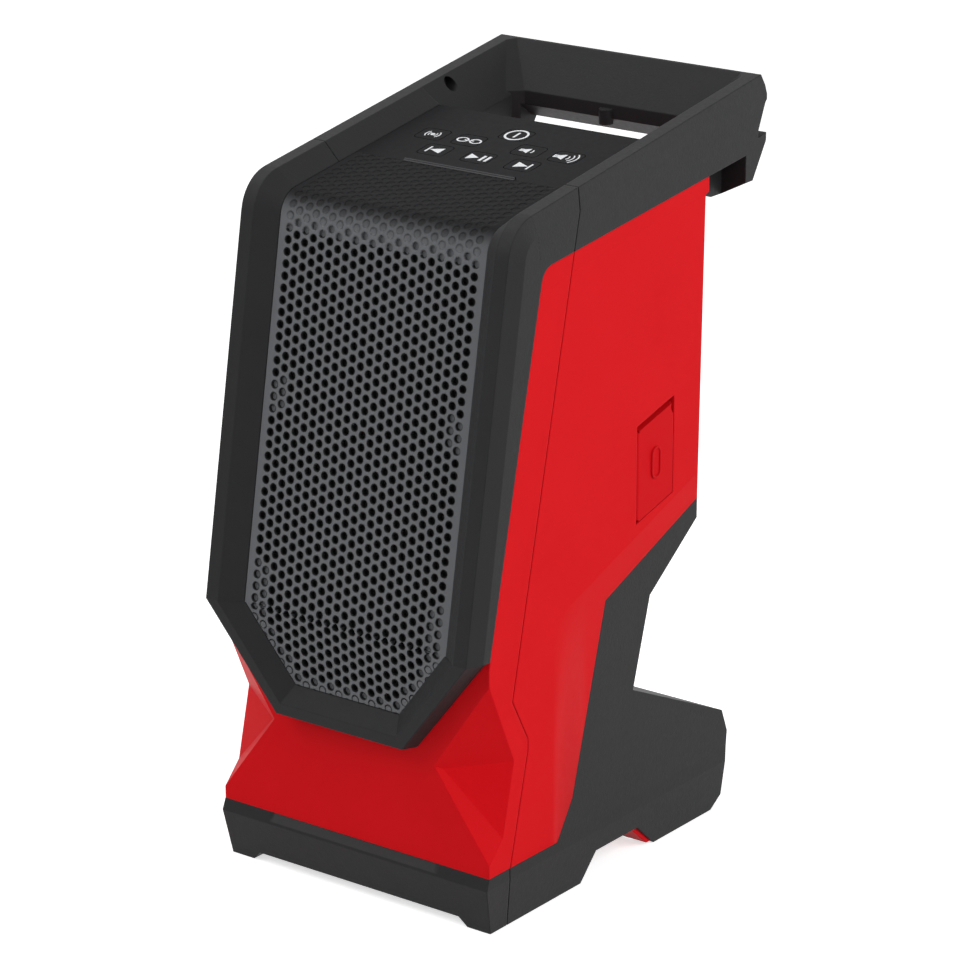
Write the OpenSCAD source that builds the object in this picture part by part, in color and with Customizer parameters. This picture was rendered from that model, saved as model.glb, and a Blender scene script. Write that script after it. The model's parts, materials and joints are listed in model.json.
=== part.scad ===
// Upright battery speaker for rough places: a leaning perforated front in a black bumper
// frame, two red housing halves, a carrying handle over the back and a heel that it stands on.
// Millimetres. X is the width, the front faces -Y, Z is up from the floor.

/* [Housing] */
// Width across the red housing sides
body_w = 107; // [102:1:114]
// Depth from the front line of the frame to the back of the handle
total_d = 156.5; // [153:0.5:164]
// Depth from the front line to the back of the red housing
head_d = 122.4; // [119:0.2:126]
// Depth from the front line to the back of the heel
heel_d = 141; // [136:0.5:148]
// Depth from the front line to the foot of the neck
neck_d = 85.8; // [83:0.2:90]
// Height of the black base
base_h = 19.5; // [16:0.5:22]
// Height of the heel at the foot of the neck
heel_h = 58.3; // [52:0.1:60]
// Wall of the red housing
wall = 2.6; // [2:0.1:3.2]
// Wall of the black neck and heel
boot_wall = 3.2; // [2.4:0.1:4]

/* [Front face] */
// Height of the bend where the chin begins
bend_z = 91.5; // [88:0.5:96]
// Lean of the front face back from upright, in degrees
lean = 9.7; // [8:0.1:11.4]
// Lean of the red front and of the seam behind the frame, in degrees
shell_lean = 12.7; // [11.6:0.1:14]
// Lean of the chin the other way, in degrees
chin_lean = 3.5; // [1:0.5:6]
// Length of the leaning face, bend to top corner
face_len = 134.2; // [130:0.2:145]
// Height of the chin
chin_h = 34.9; // [30:0.1:37]
// Width of the chin's flat bottom
chin_w = 51.8; // [46:0.2:60]
// Radius of the frame where the front turns into the top
corner_r = 14; // [12:0.5:18]
// Width of a frame rail
rail_w = 13.5; // [12.6:0.1:15]
// Depth of the grille below the frame's rim
lip_d = 5.2; // [4:0.1:6]
// Depth of the frame at the bend, rim to red housing
frame_d = 9.9; // [9.4:0.1:12]
// Depth of the housing seam at the bend, behind the rim
seam_d = 24.8; // [22:0.2:28]

/* [Grille] */
// Thickness of the grille and of the control panel
plate_t = 2; // [1.4:0.1:2.4]
// Diameter of a grille hole
hole_d = 2.4; // [1.6:0.1:2.8]
// Pitch of the grille holes along a column
hole_pitch = 3.8; // [3.4:0.1:5]
// Thickness of the cloth behind the grille
cloth_t = 0.5; // [0.3:0.1:0.8]

/* [Top] */
// Rise of the top towards the back, in degrees
top_rise = 9.7; // [6:0.1:12]
// Length of the control panel along the top
panel_len = 43.4; // [41:0.1:46]
// Start of the control panel behind the top corner
panel_y = 41; // [38:0.5:43]
// Depth of the handle bar, front to back
bar_d = 13.2; // [11:0.1:15]
// Height of the handle bar
bar_h = 19.2; // [17:0.1:21]

/* [Keys] */
// Width of a key
key_w = 10; // [8:0.5:12]
// Length of a key
key_l = 8; // [7:0.2:8.4]
// Travel of a key
key_travel = 0.5; // [0.3:0.1:0.7]
// Gap round a key
key_gap = 0.25; // [0.2:0.05:0.4]

/* [Speaker] */
// Diameter of the speaker flange
driver_d = 70; // [62:1:72]
// Height of the speaker centre above the bend, along the face
driver_z = 74; // [72:0.5:78]
// Depth of the speaker basket
basket_h = 20; // [16:0.5:24]
// Diameter of the magnet
magnet_d = 45; // [36:1:50]
// Thickness of the magnet
magnet_t = 8; // [6:0.5:12]
// Diameter of the voice coil
coil_d = 16; // [13:0.5:20]
// Diameter of the passive radiator flange
radiator_d = 40; // [34:1:42]
// Height of the radiator centre above the bend, along the face
radiator_z = 15; // [13:0.5:17]
// Travel of the cone and the radiator each way
cone_travel = 1.5; // [0.5:0.1:2]
// Thickness of the baffle
baffle_t = 3; // [2:0.2:4]

/* [Battery bay] */
// Width of the bay
bay_w = 42; // [38:0.5:46]
// Height of the bay
bay_h = 37; // [33:0.5:38]
// Depth of the closed end of the bay behind the front line
bay_d = 38; // [34:0.5:44]
// Wall of the bay sleeve
sleeve_t = 2; // [1.6:0.1:2.4]

/* [Port cover] */
// Width of the port cover
cover_w = 18.6; // [16:0.2:22]
// Height of the port cover
cover_h = 30; // [24:0.5:34]
// Thickness of the port cover
cover_t = 2.2; // [1.8:0.1:2.4]

/* [Fasteners and fits] */
// Diameter of a screw shank
screw_d = 3; // [2.5:0.1:3.5]
// Diameter of a screw head
head_w = 5.6; // [5:0.1:6]
// Clearance between pieces that move
fit = 0.3; // [0.2:0.05:0.4]

/* [Hidden] */
$fn = 48;

red = "#d21e26";
black = "#2e2e30";
grey = "#55585a";
steel = "#a8abad";
board = "#1d5a36";

// Overall frame: y of a depth behind the front line
hw = body_w / 2;
front_y = -total_d / 2;
function py(d) = front_y + d;

// Top corner of the rim, and lines of the side view
kd = face_len * sin(lean);
kz = bend_z + face_len * cos(lean);
turn = 90 - lean - top_rise;
setback = corner_r * tan(turn / 2);
function rim_at(z) = (z - bend_z) * tan(lean);
function shell_at(z) = frame_d + (z - bend_z) * tan(shell_lean);
function seam_at(z) = seam_d + (z - bend_z) * tan(shell_lean);
function ridge_z(d) = kz + (d - kd) * tan(top_rise);
// Point of the top, at a length behind the corner and a depth below the ridge
function deck_pt(y, dep) = [
  py(kd + y * cos(top_rise) + dep * sin(top_rise)),
  kz + y * sin(top_rise) - dep * cos(top_rise)
];

// Black band along the top of the red sides
band_drop = 16.8;
band_rise = 7.1;
function band_z(d) = kz - band_drop + (d - kd) * tan(band_rise);

// Frame rail section
rim_in = 6.7;
rim_out = 1.8;
chamfer_d = 6.3;
groove_w = rail_w - 2.3;
lip_x = hw - rail_w;
plate_x = hw - groove_w;

// Lip of the red back under the handle
back_d = head_d + 1.8;
// Lower red front, with its seam and the line where the black neck begins
face_d = frame_d - 0.6;
face_top_z = bend_z - 0.6 / tan(shell_lean);
base_seam_d = 20;
waist_d = 29;
waist_z = 58;
cheek_d = 70;
cheek_z = 93.5;
shin_d = 53;
shin_z = base_h + 12.5;
ankle_d = 45;
neck_top_z = 114;
jaw_z = 107.3;
nape_d = neck_d + 8.8;
nape_z = 88.1;
heel_slope = 24.3;
function heel_top(d) = heel_h - (d - neck_d) * tan(heel_slope);

// Undercut of the base
arch_z = 9;
arch_front_d = 59.2;
arch_back_d = 100.1;
foot_w = 9;
base_flare = 0.2;
front_arch_z = 3;

// Sound window in the front wall and the baffle behind it
window_w = 66;
window_z = 0;
window_top = 112;
baffle_w = 75;
baffle_z = -6;
baffle_top = 116;
baffle_back = wall + baffle_t;

// Housing screws, two to each side
post_x = hw - 8.6;
post_z = [160, 202];
post_d = 9;
post_seat = 10;

// Keys: shares of the panel width across, and length behind the top corner
key_side = 0.425 * lip_x;
key_near = 0.2925 * lip_x;
key_far = 0.655 * lip_x;
row1 = panel_y + 10.9;
row2 = panel_y + 21.6;
row3 = panel_y + 31.1;
key_spots = [
  [0, row3], [0, row1], [-key_side, row1], [key_side, row1],
  [-key_far, row2], [-key_near, row2], [key_near, row2], [key_far, row2]
];
panel_end = panel_y + panel_len;
board_drop = 5.8;
board_t = 1.6;
switch_h = 2.6;
flange_t = 1;
flange_over = 0.7;

// Battery bay
bay_z = heel_h + sleeve_t + 0.6;
bay_mid = bay_z + bay_h / 2;
bay_bevel = 8;

// Port cover on the right side
cover_d = head_d - 34.8;
cover_z = 114.8;
cover_skew = 15.3;
cover_r = cover_t / 2;
nail_gap = 1.8;
pocket_t = 2;
pocket_x = 9;

function unit(v) = v / norm(v);

// Extrudes a side view (depth, height) across the width, or a front view along the depth
module side(w) {
  rotate([90, 0, 90]) linear_extrude(w, center = true) children();
}
module along(l) {
  rotate([90, 0, 0]) linear_extrude(l, center = true) children();
}
module both() {
  children();
  mirror([1, 0, 0]) children();
}

// Frames of the leaning rim, of the chin and of the top
module tilt() {
  translate([0, front_y, bend_z]) rotate([-lean, 0, 0]) children();
}
module chin() {
  translate([0, front_y, bend_z]) rotate([chin_lean, 0, 0]) children();
}
// Frame of the red front behind the face
module lay() {
  translate([0, py(frame_d), bend_z]) rotate([-shell_lean, 0, 0]) children();
}
module deck() {
  translate([0, py(kd), kz]) rotate([top_rise, 0, 0]) children();
}
// The turn between the face and the top, as a revolve of (radius, x)
module turned(over) {
  tilt() translate([0, corner_r, face_len - setback])
    rotate([lean, 0, 0]) rotate([0, 90, 0]) rotate([0, 0, 180 + top_rise - over])
      rotate_extrude(angle = turn + 2 * over, $fn = 96) children();
}
module bend_half(up, over) {
  translate([0, front_y, bend_z]) rotate([-(lean - chin_lean) / 2, 0, 0])
    translate([-200, -100, up ? 0 : over - 300]) cube([400, 300, 300]);
}
module above_bend() {
  intersection() {
    children();
    bend_half(true, 0);
  }
}
module below_bend(over = 0) {
  intersection() {
    children();
    bend_half(false, over);
  }
}
seam_line = 0.4;
module behind_seam(over = 0) {
  lay() translate([-200, (seam_d - frame_d) * cos(shell_lean) + over, -200]) cube([400, 400, 600]);
}

// Side views
function top_z(d) = (kz - band_drop + (d - bend_z * tan(shell_lean) - kd) * tan(band_rise))
  / (1 - tan(shell_lean) * tan(band_rise));
front_top_z = top_z(frame_d);
seam_top_z = top_z(seam_d);
seam_low_z = bend_z - 17;

brow_r = 0.4 * (seam_d - frame_d);
module front_side(over = 0) {
  brow = (90 + shell_lean + band_rise) / 2;
  reach = brow_r / tan(brow);
  corner = [py(shell_at(front_top_z)), front_top_z];
  low = corner - reach * [sin(shell_lean), cos(shell_lean)];
  high = corner + reach * [cos(band_rise), sin(band_rise)];
  polygon([
    [py(face_d), base_h], [py(face_d), face_top_z], low, high,
    [py(seam_at(seam_top_z)), seam_top_z] + over * [cos(band_rise), sin(band_rise)],
    [py(seam_at(seam_low_z)) + over, seam_low_z], [py(waist_d), waist_z + 2], [py(waist_d), waist_z - 2],
    [py(base_seam_d), base_h]
  ]);
  translate(low + brow_r * [cos(shell_lean), -sin(shell_lean)]) circle(brow_r);
}
module rear_side() {
  polygon([
    [py(seam_at(seam_top_z)), seam_top_z], [py(back_d), band_z(back_d)], [py(back_d), band_z(back_d) - 5],
    [py(head_d), band_z(back_d) - 5.6], [py(head_d - 1.8), neck_top_z],
    [py(cheek_d), cheek_z], [py(shin_d), shin_z], [py(ankle_d), base_h], [py(base_seam_d), base_h],
    [py(waist_d), waist_z - 2], [py(waist_d), waist_z + 2], [py(seam_at(seam_low_z)), seam_low_z]
  ]);
}
module boot_side() {
  polygon([
    [py(head_d - 1.8), neck_top_z], [py(head_d - 1.8), jaw_z], [py(nape_d), nape_z], [py(neck_d), heel_h],
    [py(heel_d - 3.3), heel_top(heel_d - 3.3)], [py(heel_d), heel_top(heel_d - 3.3) - 8.2],
    [py(heel_d - 2), 4], [py(heel_d - 7.5), 0], [py(arch_back_d), 0], [py(arch_back_d - 10.4), arch_z],
    [py(arch_front_d + 7.5), arch_z], [py(arch_front_d), 0], [py(base_seam_d), 0], [py(base_seam_d), base_h],
    [py(ankle_d), base_h], [py(shin_d), shin_z], [py(cheek_d), cheek_z]
  ]);
}
// Front view of the base: drafted sides, widest just below its top, two runners to stand on
module base_front() {
  difference() {
    polygon([
      [-hw + 1, 0], [hw - 1, 0], [hw + base_flare, base_h - 3.5], [hw, base_h + 1.5], [hw, kz],
      [-hw, kz], [-hw, base_h + 1.5], [-hw - base_flare, base_h - 3.5]
    ]);
    polygon([
      [-hw + foot_w, -1], [hw - foot_w, -1], [hw - foot_w - 1, 0], [hw - foot_w - 4, front_arch_z],
      [-hw + foot_w + 4, front_arch_z], [-hw + foot_w + 1, 0]
    ]);
  }
}

// Scallop at each lower front corner: two planes that meet along a crease, ended by a ledge above the base
scallop_in = [hw - 22.5, py(face_d), waist_z - 7.5];
scallop_out = [hw, py(waist_d - 7), waist_z - 3];
scallop_top = [hw, py(face_d + 0.3), face_top_z - 6.5];
scallop_low = [hw, py(face_d + 7), base_h + 11.5];
ledge_in = [hw - 8.5, py(face_d), base_h + 15.5];
ledge_low = [hw, py(face_d + 2.2), base_h + 6.5];
module above_ledge() {
  e = unit(scallop_low - ledge_in);
  n = unit(cross(ledge_low - ledge_in, scallop_low - ledge_in));
  f = cross(n, e);
  both() multmatrix([
    [e.x, f.x, n.x, ledge_in.x], [e.y, f.y, n.y, ledge_in.y], [e.z, f.z, n.z, ledge_in.z], [0, 0, 0, 1]
  ]) translate([-100, -100, 0]) cube(200);
}
module scallop(inset) {
  e = unit(scallop_out - scallop_in);
  a = scallop_top - scallop_in;
  b = scallop_low - scallop_in;
  u = unit(a - (a * e) * e);
  w = unit(b - (b * e) * e);
  f = cross(e, u);
  p = scallop_in - inset * unit(u + w);
  reach = 70;
  both() multmatrix([
    [u.x, f.x, e.x, p.x], [u.y, f.y, e.y, p.y], [u.z, f.z, e.z, p.z], [0, 0, 0, 1]
  ]) linear_extrude(150, center = true)
    polygon([[0, 0], [reach, 0], [reach * (w * u), reach * (w * f)]]);
}

module at_posts() {
  for (s = [-1, 1]) for (z = post_z) translate([s * post_x, 0, z]) children();
}
// Cylinder along Y between two depths
module rod(d0, d1, dia) {
  translate([0, py(d0), 0]) rotate([-90, 0, 0]) cylinder(h = d1 - d0, d = dia);
}

module front_shell() {
  color(red) difference() {
    union() {
      difference() {
        side(body_w) front_side();
        difference() {
          side(body_w - 2 * wall) polygon([
            [py(face_d + wall), base_h + wall], [py(face_d + wall), face_top_z],
            [py(shell_at(kz) + wall / cos(shell_lean)), kz], [py(head_d), kz], [py(head_d), base_h + wall]
          ]);
          scallop(wall * 1.3);
        }
      }
      intersection() {
        side(body_w) front_side();
        at_posts() rod(0, head_d, post_d - 1);
      }
    }
    intersection() {
      scallop(0);
      above_ledge();
    }
    lay() translate([-window_w / 2, -2, window_z]) cube([window_w, wall + 4, window_top - window_z]);
    for (z = post_z) for (s = [-1, 1]) translate([s * post_x, 0, z])
      rod(seam_at(z) - 9, head_d, screw_d + 0.1);
  }
}

// Pocket round the port, open to the right
module pocket(t, x0, up = 0) {
  intersection() {
    translate([x0, -100, 0]) cube([100, 200, 400]);
    side(body_w) cover_outline(t, up);
  }
}
module cover_outline(t, up = 0) {
  g = t / cos(cover_skew);
  rim = cover_z + cover_h + g + up;
  polygon([
    [py(cover_d - cover_r - t), cover_z - g - (cover_r + t) * tan(cover_skew)],
    [py(cover_d + cover_w + t), cover_z - g + (cover_w + t) * tan(cover_skew)],
    [py(cover_d + cover_w + t), rim + (cover_w + t) * tan(cover_skew)],
    [py(cover_d - cover_r - t), rim - (cover_r + t) * tan(cover_skew)]
  ]);
}

// Tray behind the port cover, set against the side wall from inside
module port_tray() {
  color(red) difference() {
    intersection() {
      pocket(pocket_t, hw - pocket_x - pocket_t, nail_gap);
      translate([0, -100, 0]) cube([hw - wall, 200, 400]);
    }
    pocket(fit, hw - cover_t - 0.4, nail_gap);
    pocket(-1.6, hw - pocket_x);
    translate([hw - pocket_x - pocket_t - 1, usb_y, usb_z]) rotate([0, 90, 0]) usb_mouth(pocket_t + 3, 0.3);
  }
}

module rear_shell() {
  color(red) difference() {
    union() {
      difference() {
        side(body_w) rear_side();
        side(body_w - 2 * wall) polygon([
          [py(0), -5], [py(head_d - 1.8 - wall), -5], [py(head_d - 1.8 - wall), kz + 50], [py(0), kz + 50]
        ]);
      }
      intersection() {
        side(body_w) rear_side();
        union() {
          at_posts() rod(0, head_d + 5, post_d);
          for (s = [-1, 1]) for (z = stand_z) translate([s * stand_x, 0, z]) rod(stand_d, head_d + 5, 6);
        }
      }
    }
    for (z = post_z) for (s = [-1, 1]) translate([s * post_x, 0, z]) {
      rod(seam_at(z) + post_seat, head_d + 20, head_w + 0.8);
      rod(0, head_d, screw_d + 0.4);
    }
    pocket(fit, hw - wall - 1, nail_gap);
    difference() {
      translate([0, seam_line, 0]) side(body_w + 2) front_side();
      translate([-hw + 0.8, -200, 0]) cube([body_w - 1.6, 400, 400]);
    }
    for (s = [-1, 1]) for (z = stand_z) translate([s * stand_x, 0, z]) rod(0, stand_d + 6, screw_d - 0.4);
  }
}

// Frame rail section as (x, depth), with a groove for the plates behind its lip; e makes it a hair smaller,
// so that lengths of rail that meet run into one another
hair = 0.02;
function rail(dep, k, e = 0) = [
  [hw - rail_w * k + e, lip_d - e], [hw - rim_in * k + e / 2, e], [hw - rim_out * k - e / 2, e],
  [hw - e, chamfer_d + e], [hw - e, dep], [hw - rail_w * k + e, dep],
  [hw - rail_w * k + e, lip_d + plate_t + e],
  [hw - groove_w * k + e, lip_d + plate_t + e], [hw - groove_w * k + e, lip_d - e]
];
module deck_rails(y0, y1, dep) {
  both() deck() translate([0, y1, 0]) rotate([90, 0, 0])
    linear_extrude(y1 - y0) polygon([for (p = rail(dep, 1)) [p.x, -p.y]]);
}
// Chin: angle of the slanted sides and the share of the rail width that they keep
chin_run = hw - chin_w / 2;
slant = atan(chin_run / chin_h);
chin_k = cos(slant);
chin_corner = [chin_w / 2, -chin_h];
function chin_in(w) = chin_corner + w * chin_k * [-cos(slant) / (1 + sin(slant)), 1];
module chin_rails() {
  out = chin_corner + 12 * unit(chin_corner - chin_in(rail_w));
  into = chin_corner - 30 * unit(chin_corner - chin_in(rail_w));
  chin() {
    both() intersection() {
      translate([hw, 0, 0]) rotate([0, slant, 0]) translate([-hw, 0, -90])
        linear_extrude(120) polygon(rail(30, chin_k, hair));
      along(200) polygon([out, into, [0, 20], [hw + 30, 20], [hw + 30, -chin_h / 2]]);
    }
    intersection() {
      translate([-100, 0, -chin_h]) rotate([0, 90, 0]) translate([-hw, 0, 0])
        linear_extrude(200) polygon(rail(30, chin_k, 2 * hair));
      along(200) polygon([
        out + [hair / 2, 0], into + [hair / 2, 0], [-into.x - hair / 2, into.y], [-out.x - hair / 2, out.y]
      ]);
    }
  }
}
module front_bezel() {
  color(black) difference() {
    union() {
      above_bend() both() tilt() translate([0, 0, -20])
        linear_extrude(face_len - setback + 20) polygon(rail(frame_d + 20, 1));
      below_bend(2 * hair) chin_rails();
      both() turned(hair * 10) polygon([for (p = rail(corner_r - 1, 1, hair)) [corner_r - p.y, p.x]]);
      deck_rails(setback, 60, band_drop + 8);
      both() tilt() translate([lip_x + 2 * hair, corner_r, face_len - setback])
        rotate([0, 90, 0]) cylinder(h = rail_w - 4 * hair, r = 2);
    }
    behind_seam();
    side(body_w + 20) front_side(3);
    side(body_w + 30) polygon([
      [py(face_d + 1), 0], [py(face_d + 1), face_top_z], [py(shell_at(front_top_z - 8) + 1), front_top_z - 8],
      [py(head_d), front_top_z - 8], [py(head_d), 0]
    ]);
  }
}

// Handle: two arms that carry on the frame, a bar behind and a slope down to the red back
top = ridge_z(total_d);
bar_lip = total_d - bar_d;
lip_z = top - bar_h + 4.6;
hand_x = hw - 17.5;
hand_dep = 13;
hand_facet = 3.2;
bar_slope = 0.785;
arm_slope = (hand_x - hw + rim_in) / -hand_dep;
lug_drop = 38.3;
lug_d = 23.1;
lug_wall_d = 11.5;
web_x = hw - 9.4;
module arm_side() {
  polygon([
    [py(kd), band_z(kd)], [py(total_d - lug_d), band_z(total_d - lug_d)],
    [py(total_d - lug_d), top - lug_drop + 2],
    [py(total_d - lug_d + 6), top - lug_drop], [py(total_d - 10.4), top - lug_drop],
    [py(total_d), top - 21.5],
    [py(total_d), top - 3.6], [py(total_d - 1.9), top + 3], [py(kd), kz + 6]
  ]);
}
// Hand opening: it narrows from the rim to an upright lip, with a facet in each rear corner
module hand_opening() {
  rise = 30;
  corner = (hand_x - hand_facet + py(bar_lip)) / sqrt(2);
  corner_slope = (bar_slope + arm_slope) / sqrt(2);
  intersection() {
    deck() translate([0, total_d + 60, 0]) rotate([90, 0, 0]) linear_extrude(total_d + 60 - panel_end)
      polygon([
        [-hand_x, -70], [hand_x, -70], [hand_x, -hand_dep], [hand_x + arm_slope * rise, rise - hand_dep],
        [-hand_x - arm_slope * rise, rise - hand_dep], [-hand_x, -hand_dep]
      ]);
    side(2 * body_w) polygon([
      [py(kd), 150], [py(bar_lip), 150], [py(bar_lip), lip_z], [py(bar_lip) + bar_slope * rise, lip_z + rise],
      [py(kd), lip_z + rise]
    ]);
    rotate([0, 0, -45]) side(400) polygon([
      [-200, 150], [corner, 150], [corner, lip_z],
      [corner + corner_slope * rise, lip_z + rise], [-200, lip_z + rise]
    ]);
    mirror([1, 0, 0]) rotate([0, 0, -45]) side(400) polygon([
      [-200, 150], [corner, 150], [corner, lip_z],
      [corner + corner_slope * rise, lip_z + rise], [-200, lip_z + rise]
    ]);
  }
}
module handle_frame() {
  edge = deck_pt(panel_end, lip_d);
  under = deck_pt(panel_end, lip_d + 5);
  color(black) difference() {
    union() {
      intersection() {
        deck_rails(0, total_d, 60);
        side(body_w) arm_side();
        behind_seam(seam_line);
      }
      intersection() {
        side(2 * (hw - rim_in) + 1) arm_side();
        deck() translate([-hw, panel_end, -70]) cube([body_w, total_d, 70 - hair]);
      }
    }
    hand_opening();
    side(2 * hand_x) polygon([
      [py(bar_lip - 1), 150], [py(total_d + 5), 150], [py(total_d + 5), top - bar_h - 5.5],
      [py(total_d - 5), top - bar_h - 5.5], [py(bar_lip), top - bar_h], [py(bar_lip - 1), top - bar_h]
    ]);
    both() translate([web_x + 10, 0, 0]) side(20) polygon([
      [py(total_d - lug_d - 1), 150], [py(total_d - lug_wall_d), 150],
      [py(total_d - lug_wall_d), band_z(total_d - lug_wall_d)],
      [py(total_d - lug_d - 1), band_z(total_d - lug_d - 1)]
    ]);
    both() translate([0, py(total_d - 5), 0]) along(30) polygon([
      [web_x, top - lug_drop], [hw + 2, top - lug_drop + 6], [hw + 2, 150], [web_x, 150]
    ]);
    both() translate([hw, 0, 0]) side(7) polygon([
      [py(total_d + 1), top - 7], [py(total_d - 0.9), top - 9], [py(total_d - 4.6), top - 17.6],
      [py(total_d - 4.6), top - 20], [py(total_d + 1), top - 18.6]
    ]);
    both() deck() translate([plate_x, panel_end + 12, -3]) rotate([0, 90, 0]) cylinder(h = 6, d = 4.6);
  }
  color(black) side(2 * plate_x) polygon([
    edge, [py(back_d), band_z(back_d) + 2.4], [py(back_d), band_z(back_d)],
    [py(back_d - wall), band_z(back_d - wall)], under
  ]);
  color(black) intersection() {
    translate([0, py(bar_lip), top - bar_h - 2]) cylinder(h = 5, d = 4.8);
    translate([-10, py(bar_lip - 10), 150]) cube([20, 12, 200]);
  }
}

module front_boot() {
  color(black) intersection() {
    side(body_w + 20) polygon([
      [py(face_d + 2), 0], [py(face_d - 1.4), base_h - 3.7], [py(face_d), base_h],
      [py(base_seam_d - seam_line), base_h], [py(base_seam_d - seam_line), 0]
    ]);
    along(400) base_front();
  }
}

heel_in_d = arch_back_d - 7.4;
heel_in_x = hw - 5;
module rear_boot() {
  color(black) difference() {
    intersection() {
      side(body_w + 20) boot_side();
      along(400) base_front();
    }
    side(body_w - 2 * boot_wall) polygon([
      [py(base_seam_d + boot_wall), arch_z + boot_wall], [py(base_seam_d + boot_wall), neck_top_z + 20],
      [py(head_d - 1.8 - boot_wall), neck_top_z + 20], [py(head_d - 1.8 - boot_wall), jaw_z + 1.6],
      [py(nape_d - boot_wall), nape_z + 1.2], [py(neck_d - boot_wall), heel_h],
      [py(neck_d - boot_wall), arch_z + boot_wall]
    ]);
    side(2 * heel_in_x) polygon([
      [py(heel_in_d), -1], [py(heel_in_d), heel_top(heel_in_d) - boot_wall - 0.4],
      [py(heel_d - 6), heel_top(heel_d - 6) - boot_wall - 0.4], [py(heel_d - boot_wall - 0.6), 24],
      [py(heel_d - boot_wall - 0.6), -1]
    ]);
    along(400) sleeve_front(sleeve_t);
  }
  color(black) intersection() {
    side(body_w) boot_side();
    for (s = [-1, 1]) for (d = heel_screw_d) translate([s * heel_screw_x, py(d), 0]) difference() {
      translate([0, 0, plate_top]) cylinder(h = 60, d = 8);
      cylinder(h = plate_top + 9, d = screw_d + 0.1);
    }
  }
}

// Plate that closes the heel from below, with a lip that shows under the arch
plate_low = 0.9;
plate_top = 3.4;
lip_t = 2.4;
heel_screw_x = heel_in_x - 5;
heel_screw_d = [heel_in_d + 8, heel_d - 14];
module heel_plate() {
  color(red) difference() {
    union() {
      side(2 * hw - 3) polygon([
        [py(arch_back_d - 10.4 - lip_t), arch_z], [py(arch_back_d - 10.4), arch_z],
        [py(arch_back_d - 10.4 * plate_low / arch_z), plate_low],
        [py(arch_back_d - 10.4 * plate_low / arch_z - lip_t), plate_low]
      ]);
      side(2 * (heel_in_x - 0.2)) polygon([
        [py(arch_back_d - lip_t), plate_low], [py(arch_back_d - lip_t - 2), plate_top],
        [py(heel_d - boot_wall - 0.8), plate_top], [py(heel_d - boot_wall - 0.8), plate_low]
      ]);
    }
    for (s = [-1, 1]) for (d = heel_screw_d) translate([s * heel_screw_x, py(d), 0])
      cylinder(h = 10, d = screw_d + 0.4);
  }
}
module heel_screws() {
  color(steel) for (s = [-1, 1]) for (d = heel_screw_d) translate([s * heel_screw_x, py(d), 0]) {
    translate([0, 0, plate_low - 0.8]) cylinder(h = 0.8, d = head_w);
    translate([0, 0, plate_low - 0.1]) cylinder(h = plate_top + 7 - plate_low, d = screw_d);
  }
}

// Perforated grille: chin, face, turned top edge and the part of the top before the panel
col = hole_pitch * cos(30);
margin = hole_d / 2 + 1.2;
module holes(z0, z1, blind) {
  n = floor((lip_x - margin) / col);
  rows = ceil((face_len + chin_h) / hole_pitch);
  for (i = [-n:n]) for (j = [-rows:rows]) {
    x = i * col;
    z = (j + (i % 2 == 0 ? 0 : 0.5)) * hole_pitch + hole_pitch / 4;
    room = min(chin_room(abs(x), z), z - chin_in(rail_w).y);
    if (z > z0 && z < z1 && room > 1.7 && (room < 4 || backed(abs(x), z)) == blind)
      translate([x, z]) circle(d = hole_d, $fn = 24);
  }
}
// Where the frame backs the plate the holes stay blind: the top rows, the chin's outer rows and two stretches
// of the outer columns
function backed(x, z) = z > open_top || (x > lip_x - 9 && (z > 62 && z < 74 || z > -1 && z < 15));
// Distance from the slanted lip of the chin
function chin_room(x, z) = (hw - x + z * tan(slant)) * chin_k - rail_w * chin_k;
module plate(t0, t1) {
  translate([0, t1, 0]) rotate([90, 0, 0]) linear_extrude(t1 - t0) children();
}
module chin_outline(w) {
  p = chin_in(w);
  polygon([[p.x, p.y], [hw - w, 0], [hw - w, 12], [-hw + w, 12], [-hw + w, 0], [-p.x, p.y]]);
}
grille_top = face_len - setback - 0.4;
open_top = face_len - setback - 4;
// Side view of all that lies deeper than a given depth below the rim
module within(dep) {
  r = corner_r - dep;
  up = [sin(lean), cos(lean)];
  inward = [cos(lean), -sin(lean)];
  c = [py(kd), kz] - setback * up + corner_r * inward;
  foot = [py(0), bend_z] + dep * inward - 20 * up;
  polygon([
    foot, c - r * inward, c + r * [-sin(top_rise), cos(top_rise)],
    deck_pt(panel_y, dep), deck_pt(panel_y, 30), foot + [60, 0]
  ]);
  translate(c) circle(r, $fn = 96);
}
module grille() {
  color(grey) difference() {
    union() {
      above_bend() side(2 * plate_x) difference() {
        within(lip_d);
        within(lip_d + plate_t);
        polygon([
          deck_pt(panel_y, -9), deck_pt(panel_y, 40), deck_pt(panel_y + 40, 40), deck_pt(panel_y + 40, -9)
        ]);
      }
      below_bend() chin() plate(lip_d, lip_d + plate_t) chin_outline(groove_w);
    }
    tilt() plate(lip_d - 1, lip_d + plate_t + 1) holes(0, grille_top, false);
    tilt() plate(lip_d - 1, lip_d + plate_t / 2) holes(0, grille_top, true);
    chin() plate(lip_d - 1, lip_d + plate_t + 1) holes(-chin_h, 0, false);
    chin() plate(lip_d - 1, lip_d + plate_t / 2) holes(-chin_h, 0, true);
  }
}
cloth_w = 2 * lip_x - 1;
module grille_cloth() {
  back = lip_d + plate_t;
  color("#151515") {
    above_bend() tilt() plate(back, back + cloth_t)
      translate([-cloth_w / 2, -20]) square([cloth_w, open_top + 22]);
    below_bend(2 * hair) chin() plate(back + hair, back + cloth_t - hair) chin_outline(rail_w + 0.6);
  }
}

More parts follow.
